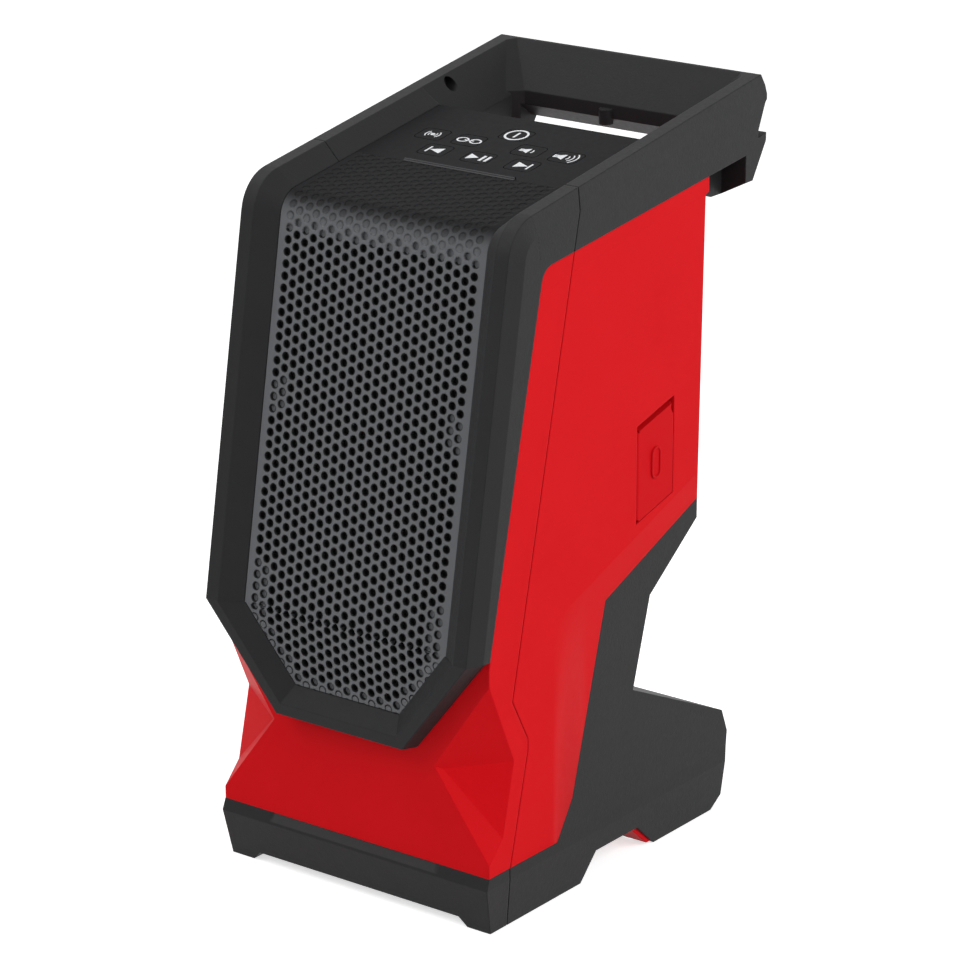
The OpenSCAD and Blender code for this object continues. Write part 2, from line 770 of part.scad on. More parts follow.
// Control panel in the grooves of the arms, with windows for the keys and posts for the board
pad_x = lip_x - 3;
post_in = 4;
panel_post = [for (s = [-1, 1]) for (y = [panel_y + 6, panel_end - 4]) [s * (pad_x - post_in), y]];
under_panel = lip_d + plate_t;
module key_outline(g) {
  w = key_w + 2 * g;
  l = key_l + 2 * g;
  r = 1.6 + g;
  square([w - 2 * r, l], center = true);
  square([w, l - 2 * r], center = true);
  for (sx = [-1, 1]) for (sy = [-1, 1]) translate([sx * (w / 2 - r), sy * (l / 2 - r)]) circle(r);
}
module control_panel() {
  color("#232325") deck() {
    difference() {
      translate([-plate_x, panel_y, -under_panel]) cube([2 * plate_x, panel_len, plate_t]);
      for (p = key_spots) translate([p.x, p.y, -under_panel - 1])
        linear_extrude(plate_t + 2) key_outline(key_gap);
    }
    translate([-21.5, panel_y + 0.6, -lip_d - 0.1]) cube([43, 0.9, 0.6]);
    for (p = panel_post) translate([p.x, p.y, -under_panel - board_drop]) difference() {
      cylinder(h = board_drop + 0.2, d = 6);
      translate([0, 0, -1]) cylinder(h = board_drop, d = screw_d - 0.4 + 0.1);
    }
  }
}
// Key: cap in its window, a flange that keeps it in, and a stem over its switch
stem_h = board_drop - switch_h - key_travel - 0.1;
module key(i) {
  p = key_spots[i];
  color("#262628") deck() translate([p.x, p.y, 0]) {
    translate([0, 0, -under_panel - fit]) linear_extrude(plate_t + fit) key_outline(0);
    translate([0, 0, -under_panel - fit - flange_t])
      linear_extrude(flange_t) key_outline(key_gap + flange_over);
    translate([0, 0, -under_panel - stem_h]) cylinder(h = stem_h - fit, d = 3.4);
  }
}
module key_power() { key(0); }
module key_play() { key(1); }
module key_back() { key(2); }
module key_next() { key(3); }
module key_pair() { key(4); }
module key_link() { key(5); }
module key_quieter() { key(6); }
module key_louder() { key(7); }

board_z = under_panel + board_drop;
module keypad_board() {
  color(board) deck() difference() {
    translate([-pad_x, panel_y + 2, -board_z - board_t]) cube([2 * pad_x, panel_len - 3, board_t]);
    for (p = panel_post) translate([p.x, p.y, -board_z - board_t - 1]) cylinder(h = board_t + 2, d = screw_d);
  }
}
module key_switches() {
  color("#3a3a3c") deck() for (p = key_spots) translate([p.x, p.y, -board_z]) {
    translate([-3, -3, 0]) cube([6, 6, switch_h - 0.6]);
    cylinder(h = switch_h, d = 3);
  }
}
module panel_screws() {
  color(steel) deck() for (p = panel_post) translate([p.x, p.y, -board_z - board_t]) {
    translate([0, 0, -1.6]) cylinder(h = 1.6, d = head_w - 0.6);
    translate([0, 0, -0.1]) cylinder(h = board_t + 4.5, d = screw_d - 0.4);
  }
}

// Baffle and what it carries, behind the red front
module at_driver(dep) {
  lay() translate([0, dep, driver_z]) rotate([-90, 0, 0]) children();
}
module at_radiator(dep) {
  lay() translate([0, dep, radiator_z]) rotate([-90, 0, 0]) children();
}
flange_t2 = 2;
mouth_d = driver_d - 10;
radiator_mouth = radiator_d - 8;
driver_screw_r = driver_d / 2 - 2.4;
module driver_screw_spots() {
  for (a = [45:90:315]) rotate([0, 0, a]) translate([driver_screw_r, 0, 0]) children();
}
module baffle() {
  color(black) difference() {
    lay() plate(wall, baffle_back) translate([-baffle_w / 2, baffle_z])
      square([baffle_w, baffle_top - baffle_z]);
    at_driver(wall - 1) cylinder(h = baffle_t + 2, d = mouth_d);
    at_radiator(wall - 1) cylinder(h = baffle_t + 2, d = radiator_mouth);
    at_driver(wall - 1) driver_screw_spots() cylinder(h = baffle_t + 2, d = screw_d - 0.9);
    side(body_w) polygon([
      [py(0), 0], [py(face_d + wall), 0], [py(face_d + wall), face_top_z],
      [py(shell_at(kz) + wall / cos(shell_lean)), kz], [py(0), kz]
    ]);
  }
}
// Speaker basket: flange, open wall with windows and a floor that carries the motor
floor_d = 34;
ledge_w = 2.2;
ledge_h = 4;
module basket() {
  color("#303234") at_driver(baffle_back) difference() {
    rotate_extrude() polygon([
      [mouth_d / 2 - 3.4, 0], [driver_d / 2, 0], [driver_d / 2, flange_t2], [mouth_d / 2, flange_t2],
      [floor_d / 2 + 3, basket_h - 2], [floor_d / 2 + 3, basket_h], [coil_d / 2 + 2, basket_h],
      [coil_d / 2 + 2, basket_h - 2], [floor_d / 2 - ledge_w, basket_h - 2],
      [floor_d / 2 - ledge_w, basket_h - ledge_h], [floor_d / 2, basket_h - ledge_h],
      [mouth_d / 2 - 3.4, flange_t2]
    ]);
    for (a = [0:60:300]) rotate([0, 0, a]) translate([floor_d / 2 + 4, -6, 5]) cube([20, 12, basket_h - 9]);
    driver_screw_spots() translate([0, 0, -1]) cylinder(h = flange_t2 + 2, d = screw_d - 0.7);
  }
}
// Moving cone, its roll surround, spider, coil and cap
cone_top = 0.7;
cone_low = basket_h - 6 - 2 * cone_travel;
coil_len = 12 + 2 * cone_travel;
surround_out = mouth_d - 2;
surround_in = mouth_d - 12;
module cone() {
  color("#3b3b3d") at_driver(baffle_back) rotate_extrude() polygon([
    [coil_d / 2 + 0.6, cone_low], [surround_in / 2 - 0.8, cone_top], [surround_in / 2 + 0.6, cone_top],
    [surround_in / 2 + 0.6, cone_top + 0.8], [surround_in / 2 - 1.4, cone_top + 0.8],
    [coil_d / 2 + 0.6, cone_low + 1.2]
  ]);
}
module dust_cap() {
  color("#222224") at_driver(baffle_back) translate([0, 0, cone_low - 2.6]) rotate_extrude() difference() {
    translate([0, 14]) circle(14);
    translate([0, 14]) circle(13.4);
    translate([-30, -5]) square([30, 60]);
    translate([0, 2.6]) square([60, 60]);
  }
}
module voice_coil() {
  color("#b07a3c") at_driver(baffle_back) translate([0, 0, cone_low]) difference() {
    cylinder(h = coil_len, d = coil_d + 1);
    translate([0, 0, -1]) cylinder(h = coil_len + 2, d = coil_d);
  }
}
module roll(r_in, r_out, t) {
  mid = (r_in + r_out) / 2;
  w = (r_out - r_in) / 2;
  difference() {
    translate([mid, 0]) circle(w);
    translate([mid, 0]) circle(w - t);
    translate([mid - 2 * w, 0]) square([4 * w, 2 * w]);
  }
}
module surround() {
  color("#1c1c1e") at_driver(baffle_back) rotate_extrude() {
    roll(surround_in / 2 + 0.8, surround_out / 2 - 1.6, 0.7);
    translate([surround_in / 2 - 0.6, 0]) square([2.1, 0.7]);
    translate([surround_out / 2 - 2.3, -0.7]) square([1.5, 0.7]);
  }
}
spider_in = coil_d / 2 + 0.6;
spider_step = (floor_d / 2 - 0.1 - spider_in) / 4;
module spider() {
  color("#c8a25a") at_driver(baffle_back) translate([0, 0, basket_h - ledge_h - 0.8]) rotate_extrude() {
    for (i = [0:3]) translate([spider_in + i * spider_step, i % 2 == 0 ? -0.5 : 0])
      square([spider_step + (i < 3 ? 0.2 : 0), 0.8]);
  }
}
module top_plate() {
  color(steel) at_driver(baffle_back + basket_h) difference() {
    cylinder(h = 4, d = magnet_d - 4);
    translate([0, 0, -1]) cylinder(h = 6, d = coil_d + 2.4);
  }
}
module magnet() {
  color("#4a4a4c") at_driver(baffle_back + basket_h + 4) difference() {
    cylinder(h = magnet_t, d = magnet_d);
    translate([0, 0, -1]) cylinder(h = magnet_t + 2, d = coil_d + 6);
  }
}
module pole_yoke() {
  color(steel) at_driver(baffle_back + basket_h + 4 + magnet_t) {
    cylinder(h = 4, d = magnet_d - 4);
    translate([0, 0, -magnet_t - 4]) cylinder(h = magnet_t + 4.5, d = coil_d - 1.4);
  }
}
module speaker_screws() {
  color(steel) at_driver(baffle_back + flange_t2) driver_screw_spots() {
    cylinder(h = 1.5, d = 4);
    translate([0, 0, -flange_t2 - baffle_t + 0.4]) cylinder(h = flange_t2 + baffle_t, d = screw_d - 1);
  }
}
radiator_in = radiator_mouth - 10;
module radiator_frame() {
  color("#303234") at_radiator(baffle_back) difference() {
    cylinder(h = 2, d = radiator_d);
    translate([0, 0, -1]) cylinder(h = 4, d = radiator_mouth - 2);
  }
}
module radiator_surround() {
  color("#1c1c1e") at_radiator(baffle_back) rotate_extrude() {
    roll(radiator_in / 2 + 0.8, radiator_mouth / 2 - 1.4, 0.7);
    translate([radiator_in / 2 - 1, 0]) square([2.5, 0.7]);
    translate([radiator_mouth / 2 - 2.1, 0]) square([1.1, 0.7]);
  }
}
module radiator_disc() {
  color("#3b3b3d") at_radiator(baffle_back + 0.7) {
    cylinder(h = 1.2, d = radiator_in + 1.4);
    cylinder(h = 4, d = radiator_in - 8);
  }
}

// Main board on four posts of the rear housing
stand_x = 30;
stand_low = 134;
stand_high = 190;
stand_z = [stand_low, stand_high];
stand_deep = 14;
stand_d = head_d - stand_deep;
board_edge = 6;
part_w = 14;
module main_board() {
  color(board) difference() {
    translate([-stand_x - board_edge, py(stand_d - board_t), stand_low - board_edge])
      cube([2 * (stand_x + board_edge), board_t, stand_high - stand_low + 2 * board_edge]);
    for (s = [-1, 1]) for (z = stand_z) translate([s * stand_x, 0, z]) rod(0, stand_d + 2, screw_d);
  }
}
module board_parts() {
  face = stand_d - board_t;
  color("#2a2a30") {
    for (x = [-0.65, -0.25]) translate([x * stand_x, 0, stand_high - part_w / 2])
      rod(face - part_w, face, 0.7 * part_w);
    translate([0.15 * stand_x, py(face - part_w / 2), stand_high - 1.3 * part_w])
      cube([part_w, part_w / 2, part_w]);
    translate([-0.7 * stand_x, py(face - part_w / 6), stand_low + part_w / 2])
      cube([part_w, part_w / 6, part_w]);
    translate([0, py(face - 0.6 * part_w), stand_low + part_w / 3])
      cube([1.5 * part_w, 0.6 * part_w, 1.2 * part_w]);
  }
}
module board_screws() {
  face = stand_d - board_t;
  color(steel) for (s = [-1, 1]) for (z = stand_z) translate([s * stand_x, 0, z]) {
    rod(face - 1.8, face, head_w - 0.6);
    rod(face - 0.1, stand_d + 5, screw_d - 0.5);
  }
}
usb_y = py(cover_d + cover_w / 2 - 0.4);
usb_z = cover_z + cover_h / 2 + (cover_w / 2) * tan(cover_skew);
usb_w = 3.3;
usb_l = 9;
usb_board_x = hw - pocket_x - pocket_t - 3;
module usb_mouth(h, g) {
  w = usb_w + 2 * g;
  l = usb_l + 2 * g;
  translate([-l / 2 + w / 2, -w / 2, 0]) cube([l - w, w, h]);
  for (s = [-1, 1]) translate([s * (l - w) / 2, 0, 0]) cylinder(h = h, d = w);
}
module usb_socket() {
  color(steel) translate([usb_board_x, usb_y, usb_z]) rotate([0, 90, 0]) difference() {
    usb_mouth(hw - pocket_x - usb_board_x, 0);
    translate([0, 0, 0.8]) usb_mouth(8, -0.3);
  }
  color("#222224") translate([usb_board_x + 0.5, usb_y - 0.35, usb_z - 3]) cube([3.6, 0.7, 6]);
}
module usb_board() {
  color(board) translate([usb_board_x - board_t, usb_y - 8.5, usb_z - 13]) cube([board_t, 17, 26]);
  color(board) for (s = [-1, 1]) translate([usb_board_x - 0.1, usb_y, usb_z + s * 10])
    rotate([0, 90, 0]) cylinder(h = hw - pocket_x - pocket_t - usb_board_x + 0.1, d = 3.5);
}
// Rubber cover that swings on the round bead of its front edge
module usb_cover() {
  color(red) difference() {
    union() {
      intersection() {
        side(2 * body_w) cover_outline(0);
        translate([hw - cover_t, py(cover_d), 0]) cube([cover_t, 100, 400]);
      }
      translate([hw - cover_r, py(cover_d), cover_z + 0.6]) cylinder(h = cover_h - 1.2, r = cover_r);
    }
    translate([hw - 1, py(cover_d + cover_w + 1.2), cover_z + cover_h + cover_w * tan(cover_skew) - 1.5])
      rotate([0, 90, 0]) cylinder(h = 5, d = 5);
  }
  color(red) translate([hw - 0.2, usb_y, usb_z]) rotate([0, 90, 0]) difference() {
    usb_mouth(0.8, 0.8);
    translate([0, 0, 0.4]) usb_mouth(2, 0.2);
  }
}

// Battery bay: a bevelled sleeve in the neck, open to the back, with its contacts at the closed end
module sleeve_front(t) {
  w = bay_w / 2 + t;
  b = bay_bevel + t * 0.6;
  polygon([
    [-w, bay_z - t], [w, bay_z - t], [w, bay_z + bay_h + t - b], [w - b, bay_z + bay_h + t],
    [-w + b, bay_z + bay_h + t], [-w, bay_z + bay_h + t - b]
  ]);
}
module battery_sleeve() {
  color("#1e1e20") intersection() {
    side(body_w) polygon([
      [py(bay_d - sleeve_t), 0], [py(bay_d - sleeve_t), kz], [py(head_d - 1.8), kz],
      [py(head_d - 1.8), jaw_z],
      [py(nape_d), nape_z], [py(neck_d), heel_h], [py(neck_d), 0]
    ]);
    difference() {
      along(400) sleeve_front(sleeve_t);
      translate([0, py(bay_d) + 200, 0]) along(400) sleeve_front(0);
    }
  }
}
module terminal_block() {
  color("#38383a") translate([-13, py(bay_d), bay_mid - 7]) cube([26, 7, 14]);
}
module battery_terminals() {
  color("#c9a24a") for (x = [-8, 0, 8]) translate([x - 0.5, py(bay_d + 7), bay_mid - 4]) cube([1, 8, 8]);
}

module housing_screws() {
  color(steel) for (z = post_z) for (s = [-1, 1]) translate([s * post_x, 0, z]) {
    rod(seam_at(z) + post_seat, seam_at(z) + post_seat + 3, head_w);
    rod(seam_at(z) - 8, seam_at(z) + post_seat + 0.1, screw_d);
  }
}

front_shell();
rear_shell();
front_bezel();
handle_frame();
front_boot();
rear_boot();
heel_plate();
grille();
grille_cloth();
control_panel();
key_power();
key_play();
key_back();
key_next();
key_pair();
key_link();
key_quieter();
key_louder();
keypad_board();
key_switches();
panel_screws();
baffle();
basket();
cone();
dust_cap();
voice_coil();
surround();
spider();
top_plate();
magnet();
pole_yoke();
speaker_screws();
radiator_frame();
radiator_surround();
radiator_disc();
main_board();
board_parts();
board_screws();
usb_board();
usb_socket();
port_tray();
usb_cover();
battery_sleeve();
terminal_block();
battery_terminals();
housing_screws();
heel_screws();
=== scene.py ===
# %% [markdown]
# # A rugged battery speaker, dressed for a product shot
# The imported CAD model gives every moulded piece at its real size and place. This lesson adds what a solid
# model can't hold: the printed signs on the keys, the finishes, the light and the camera.

import json
import math

import bmesh
import bpy
from mathutils import Matrix, Vector


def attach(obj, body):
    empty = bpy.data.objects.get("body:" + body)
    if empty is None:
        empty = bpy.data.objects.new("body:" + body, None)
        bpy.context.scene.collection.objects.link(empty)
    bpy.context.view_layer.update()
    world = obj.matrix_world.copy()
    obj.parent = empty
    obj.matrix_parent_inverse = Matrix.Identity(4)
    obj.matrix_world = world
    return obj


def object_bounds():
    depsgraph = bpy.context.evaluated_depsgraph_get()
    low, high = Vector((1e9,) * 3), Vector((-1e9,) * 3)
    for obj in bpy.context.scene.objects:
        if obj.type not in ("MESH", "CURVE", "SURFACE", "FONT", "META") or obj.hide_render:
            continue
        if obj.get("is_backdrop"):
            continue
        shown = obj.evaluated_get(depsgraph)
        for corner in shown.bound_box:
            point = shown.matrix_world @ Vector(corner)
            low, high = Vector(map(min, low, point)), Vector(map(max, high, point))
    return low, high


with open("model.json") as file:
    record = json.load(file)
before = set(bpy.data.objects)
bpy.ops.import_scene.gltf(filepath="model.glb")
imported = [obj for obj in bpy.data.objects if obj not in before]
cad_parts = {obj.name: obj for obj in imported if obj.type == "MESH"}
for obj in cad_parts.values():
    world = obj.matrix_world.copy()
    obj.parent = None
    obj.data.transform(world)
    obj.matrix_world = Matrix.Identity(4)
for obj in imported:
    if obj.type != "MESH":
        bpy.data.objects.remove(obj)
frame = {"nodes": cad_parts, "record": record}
cad_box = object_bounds()
nodes = frame["nodes"]
mm = 0.001
print(f"{len(nodes)} nodes, height {cad_box[1].z - cad_box[0].z:.4f} m")

# %% [markdown]
# ## Two frames that lie on the object
# The front face leans back and the top rises towards the handle. Patterns and signs are laid out flat, so
# each of these two surfaces gets its own origin and slope, taken from the object's side view.

# %% Face and deck frames
bend = Vector((0, -78.25, 91.5)) * mm
lean = math.radians(9.7)
chin_lean = math.radians(3.5)
face_len = 134.2 * mm
corner_r = 14 * mm
lip_d = 5.2 * mm
rise = math.radians(9.7)
panel_y = 41 * mm
turn = math.pi / 2 - lean - rise
setback = corner_r * math.tan(turn / 2)
face_end = face_len - setback
face_up = Vector((0, math.sin(lean), math.cos(lean)))
face_in = Vector((0, math.cos(lean), -math.sin(lean)))
chin_up = Vector((0, -math.sin(chin_lean), math.cos(chin_lean)))
top_corner = bend + face_len * face_up
deck_back = Vector((0, math.cos(rise), math.sin(rise)))
turn_axis = top_corner - setback * face_up + corner_r * face_in
deck = Matrix.Translation(top_corner) @ Matrix.Rotation(rise, 4, "X")
print("top corner", [round(v, 4) for v in top_corner])

# %% [markdown]
# ## Shader arithmetic
# A finish is easier to read as a formula than as a web of nodes. One small class wraps an output socket and
# adds a Math node for each operator; every other node comes from its `made` method.


# %% The wire class
class Wire:
    """An output of a shader node that can be reckoned with."""

    def __init__(self, tree, socket=None):
        self.tree = tree
        self.socket = socket

    def made(self, kind, settings=None, values=None, out=0):
        """Adds a node, sets it up, links or sets its inputs, and gives one of its outputs."""
        node = self.tree.nodes.new(kind)
        for name, value in (settings or {}).items():
            setattr(node, name, value)
        for name, value in (values or {}).items():
            if isinstance(value, Wire):
                self.tree.links.new(value.socket, node.inputs[name])
            else:
                node.inputs[name].default_value = value
        return Wire(self.tree, node.outputs[out])

    def maths(self, operation, *values):
        return self.made("ShaderNodeMath", {"operation": operation}, dict(enumerate(values)))

    def __add__(self, other):
        return self.maths("ADD", self, other)

    def __sub__(self, other):
        return self.maths("SUBTRACT", self, other)

    def __rsub__(self, other):
        return self.maths("SUBTRACT", other, self)

    def __mul__(self, other):
        return self.maths("MULTIPLY", self, other)

    def __truediv__(self, other):
        return self.maths("DIVIDE", self, other)

    def __abs__(self):
        return self.maths("ABSOLUTE", self)

    def __round__(self):
        return self.maths("ROUND", self)

    __radd__ = __add__
    __rmul__ = __mul__

    def at_least(self, low):
        return self.maths("MAXIMUM", self, low)

    def at_most(self, high):
        return self.maths("MINIMUM", self, high)

    def step(self, low, high):
        """Rises smoothly from 0 to 1 between two values."""
        kind = {"interpolation_type": "SMOOTHSTEP"}
        return self.made("ShaderNodeMapRange", kind, {"Value": self, "From Min": low, "From Max": high})

    def mix(self, low, high):
        """Colour between two colours, by this factor."""
        factor, first, second, result = 0, 6, 7, 2
        values = {factor: self, first: low, second: high}
        return self.made("ShaderNodeMix", {"data_type": "RGBA"}, values, result)


# %% The finish class
class Finish:
    """A material whose Principled shader is fed by wires."""

    def __init__(self, name, colour, roughness, **constants):
        self.material = bpy.data.materials.new(name)
        self.material.use_nodes = True
        self.tree = self.material.node_tree
        self.shader = self.tree.nodes["Principled BSDF"]
        self.start = Wire(self.tree)
        self.place = self.start.made("ShaderNodeTexCoord", out="Object")
        self.shader.inputs["Base Color"].default_value = (*colour, 1)
        self.shader.inputs["Roughness"].default_value = roughness
        for socket, value in constants.items():
            self.shader.inputs[socket.replace("_", " ")].default_value = value

    def feed(self, socket, wire):
        self.tree.links.new(wire.socket, self.shader.inputs[socket])

    def along(self, direction, origin=(0, 0, 0)):
        """Distance of a point from an origin along a direction, in metres."""
        shifted = self.start.made(
            "ShaderNodeVectorMath", {"operation": "SUBTRACT"}, {0: self.place, 1: tuple(origin)}
        )
        return self.start.made(
            "ShaderNodeVectorMath", {"operation": "DOT_PRODUCT"}, {0: shifted, 1: tuple(direction)}, "Value"
        )

    def noise(self, size):
        """Grey noise whose grains have about the given size."""
        return self.start.made("ShaderNodeTexNoise", None, {"Vector": self.place, "Scale": 1 / size})

    def relief(self, height, depth, edge=0):
        """Raises the surface by height times depth in metres, over edges softened by a small radius."""
        values = {"Height": height, "Distance": depth, "Strength": 1.0}
        if edge:
            values["Normal"] = self.start.made("ShaderNodeBevel", {"samples": 6}, {"Radius": edge})
        self.feed("Normal", self.start.made("ShaderNodeBump", None, values))


def dress(finish, *names):
    """Gives CAD nodes a finish."""
    for name in names:
        mesh = nodes[name].data
        mesh.materials.clear()
        mesh.materials.append(finish.material)
    print(finish.material.name, "with", len(finish.tree.nodes), "nodes on", *names)


# %% [markdown]
# ## Moulded red plastic
# The housing is a satin, through-coloured plastic. Its mould was spark eroded, which leaves a very fine
# grain, and the colour varies a little with the thickness of the wall. Two very shallow folds cross each
# side: one just below the arm, the other above the boot. They turn the wall by only a few degrees and leave
# its outline alone, so a bump that grows with the distance past the fold is enough to show them.

# %% Red finish
red = Finish("red_plastic", (0.64, 0.006, 0.010), 0.42, Specular_IOR_Level=0.03)
red.feed("Base Color", red.noise(30 * mm).mix((0.62, 0.005, 0.009, 1), (0.67, 0.007, 0.011, 1)))
red.feed("Roughness", 0.38 + 0.1 * red.noise(2 * mm))

# %% Folds of the red sides
arm_fold = Vector((0, -21.9, 204.9)) * mm
arm_fold_up = Vector((0, -0.147, 0.989))
boot_fold = Vector((0, -34.1, 94.7)) * mm
boot_fold_down = Vector((0, 0.342, -0.940))
boot_fold_start, boot_fold_full = -36 * mm, -18 * mm
side_x = 52.9 * mm
fold_slope = 0.14
past_arm_fold = red.along(arm_fold_up, arm_fold)
past_boot_fold = red.along(boot_fold_down, boot_fold)
fade = red.along((0, 1, 0)).step(boot_fold_start, boot_fold_full)
on_side = abs(red.along((1, 0, 0))).step(side_x, side_x + 0.3 * mm)
folds = past_arm_fold.at_least(0) + past_boot_fold.at_least(0) * fade
red.relief(0.02 * mm * red.noise(0.5 * mm) - fold_slope * folds * on_side, 1.0, 0.6 * mm)
dress(red, "front_shell", "rear_shell", "heel_plate", "port_tray")

# %% [markdown]
# ## Black overmould
# Frame, handle and boots are a tougher, nearly matte plastic with a coarser grain than the red one. The upper
# edge of the base leans back a little more between its two corners, which catches the light. As on the red
# sides, a sloping bump stands for that narrow strip, and a colour a shade lighter on it is a painted
# highlight.

# %% Strip along the upper edge of the base
black = Finish("black_overmould", (0.019, 0.019, 0.020), 0.5, Specular_IOR_Level=0.14)
black.feed("Roughness", 0.44 + 0.14 * black.noise(1.5 * mm))
strip_half = 32.5 * mm
strip_z, strip_h = 16.4 * mm, 3.3 * mm
strip_back = -64 * mm
strip_slope = 0.5
aside = abs(black.along((1, 0, 0)))
level = black.along((0, 0, 1), (0, 0, strip_z))
in_front = 1 - black.along((0, 1, 0)).step(strip_back, strip_back + 2 * mm)
on_base = (1 - aside.step(strip_half, strip_half + 2 * mm)) * in_front
on_base = on_base * (1 - level.step(strip_h, strip_h + 0.3 * mm))
ramp = level.at_least(0) * on_base

# %% Black finish
moulded_black = black.noise(20 * mm).mix((0.013, 0.013, 0.014, 1), (0.017, 0.017, 0.018, 1))
# The strip's lighter colour is a painted highlight for the light that this edge catches.
strip_painted_highlight = level.step(0, 0.4 * mm) * on_base
black.feed("Base Color", strip_painted_highlight.mix(moulded_black, (0.030, 0.030, 0.031, 1)))
black.relief(0.05 * mm * black.noise(0.7 * mm) - strip_slope * ramp, 1.0, 0.6 * mm)
dress(black, "front_bezel", "handle_frame", "front_boot", "rear_boot")

# %% [markdown]
# ## The grille
# The holes of the plate are real holes in the CAD node. The real plate also has a soft edge at each hole, and
# blind dimples where the pattern runs on round the top edge. A dark ring of painted shade lies in each soft
# edge, and the plate on top and its dimples are painted darker, as shade. A pattern laid flat would break at
# the bends, so the finish first works out the length along the plate's bent surface. That length and the
# width then give the nearest point of the hole pattern, and everything else follows from the distance to it.

# %% Length along the bent plate
grille = Finish("grille_grey", (0.06, 0.062, 0.064), 0.42, Metallic=0.1, Specular_IOR_Level=0.18)
across = grille.along((1, 0, 0))
up_face = grille.along(face_up, bend).at_most(face_end).at_least(0)
down_chin = grille.along(chin_up, bend).at_most(0)
over = grille.along(face_up, turn_axis).at_least(0)
ahead = grille.along(-face_in, turn_axis)
round_turn = over.maths("ARCTAN2", over, ahead).at_most(turn)
on_deck = grille.along(deck_back, top_corner + setback * deck_back).at_least(0)
length = down_chin + up_face + round_turn * (corner_r - lip_d) + on_deck

# %% Distance to the nearest hole
pitch = 3.8 * mm
column = pitch * math.cos(math.pi / 6)
last_column = 11
which = round(across / column)
odd = abs(which.maths("MODULO", which, 2.0))
shifted = (length - odd * (pitch / 2) - pitch / 4) / pitch
short = (shifted - round(shifted)) * pitch
wide = across - which * column
away = short.maths("SQRT", short * short + wide * wide)
in_pattern = 1 - abs(which).step(last_column + 0.2, last_column + 0.4)
print("columns", 2 * last_column + 1, "at", round(column / mm, 2), "mm")

# %% Grille finish
hole_r = 1.2 * mm
rim = 1 - (1 - away.step(hole_r - 0.35 * mm, hole_r + 0.4 * mm)) * in_pattern
# The dark ring round each hole's edge is painted shade.
past_edge = away.step(hole_r - 0.1 * mm, hole_r - 0.03 * mm)
hole_shade_ring = past_edge - away.step(hole_r + 0.12 * mm, hole_r + 0.32 * mm)
on_top = length.step(face_end - 2 * mm, face_end + 9 * mm)
blind = length.step(face_end - 4.2 * mm, face_end - 4 * mm)
# The plate on top gets a much darker colour: painted shade.
plate_colour_shaded_top = on_top.mix((0.118, 0.122, 0.130, 1), (0.006, 0.006, 0.007, 1))
# Painted shade in the dimples on top, plus the painted shade ring in each hole's edge.
painted_pit_shade = on_top * (1 - rim) + 0.85 * (1 - blind) * hole_shade_ring * in_pattern
grille.feed("Base Color", painted_pit_shade.mix(plate_colour_shaded_top, (0.006, 0.006, 0.006, 1)))
grille.feed("Roughness", 0.34 + 0.1 * grille.noise(1 * mm) + 0.45 * on_top)
grille.relief(rim + 0.03 * grille.noise(0.6 * mm), 0.7 * mm)
dress(grille, "grille")

# %% [markdown]
# ## Panel, keys and rubber
# The control panel and its keys are one dark, smooth, nearly matte surface, with a pale raised line along its
# front edge. The line is part of the panel's solid, so the finish finds it by its place and only colours it.
# The port cover is the same red in a softer rubber.

# %% Panel finish
panel = Finish("panel_black", (0.006, 0.006, 0.007), 0.5, Specular_IOR_Level=0.05)
line_w, line_half = 0.8 * mm, 21.4 * mm
behind = panel.along(deck_back, top_corner + panel_y * deck_back)
aside = abs(panel.along((1, 0, 0)))
on_line = behind.step(0.02 * mm, 0.08 * mm) * (1 - behind.step(line_w, line_w + 0.2 * mm))
on_line = on_line * (1 - aside.step(line_half, line_half + 0.3 * mm))
panel.feed("Base Color", on_line.mix((0.006, 0.006, 0.007, 1), (0.10, 0.10, 0.104, 1)))
panel.feed("Roughness", 0.46 + 0.1 * panel.noise(2 * mm))
panel.relief(panel.noise(0.4 * mm), 0.01 * mm, 0.2 * mm)
key_names = [name for name in nodes if name.startswith("key_") and name != "key_switches"]
dress(panel, "control_panel", *key_names)

# %% Rubber of the port cover
cover = Finish("red_rubber", (0.60, 0.006, 0.010), 0.5, Specular_IOR_Level=0.03)
cover.feed("Roughness", 0.46 + 0.1 * cover.noise(1.5 * mm))
cover.relief(cover.noise(0.5 * mm), 0.02 * mm, 0.4 * mm)
dress(cover, "usb_cover")

# %% [markdown]
# ## Inner pieces
# They show through the holes, in the bay and behind the cover, or when the part is taken apart, so each has
# the finish of its real stuff too. These finishes differ only in colour, gloss and grain, so one function
# makes them all, and the record says which piece is made of what.


# %% Inner finishes
def plain(name, colour, roughness, grain, depth, **constants):
    """A finish with a little uneven colour and a grain."""
    finish = Finish(name, colour, roughness, **constants)
    dark = tuple(0.85 * c for c in colour) + (1,)
    light = tuple(min(1, 1.12 * c) for c in colour) + (1,)
    finish.feed("Base Color", finish.noise(grain * 8).mix(dark, light))
    finish.feed("Roughness", roughness - 0.05 + 0.1 * finish.noise(grain * 2))
    finish.relief(finish.noise(grain), depth)
    return finish


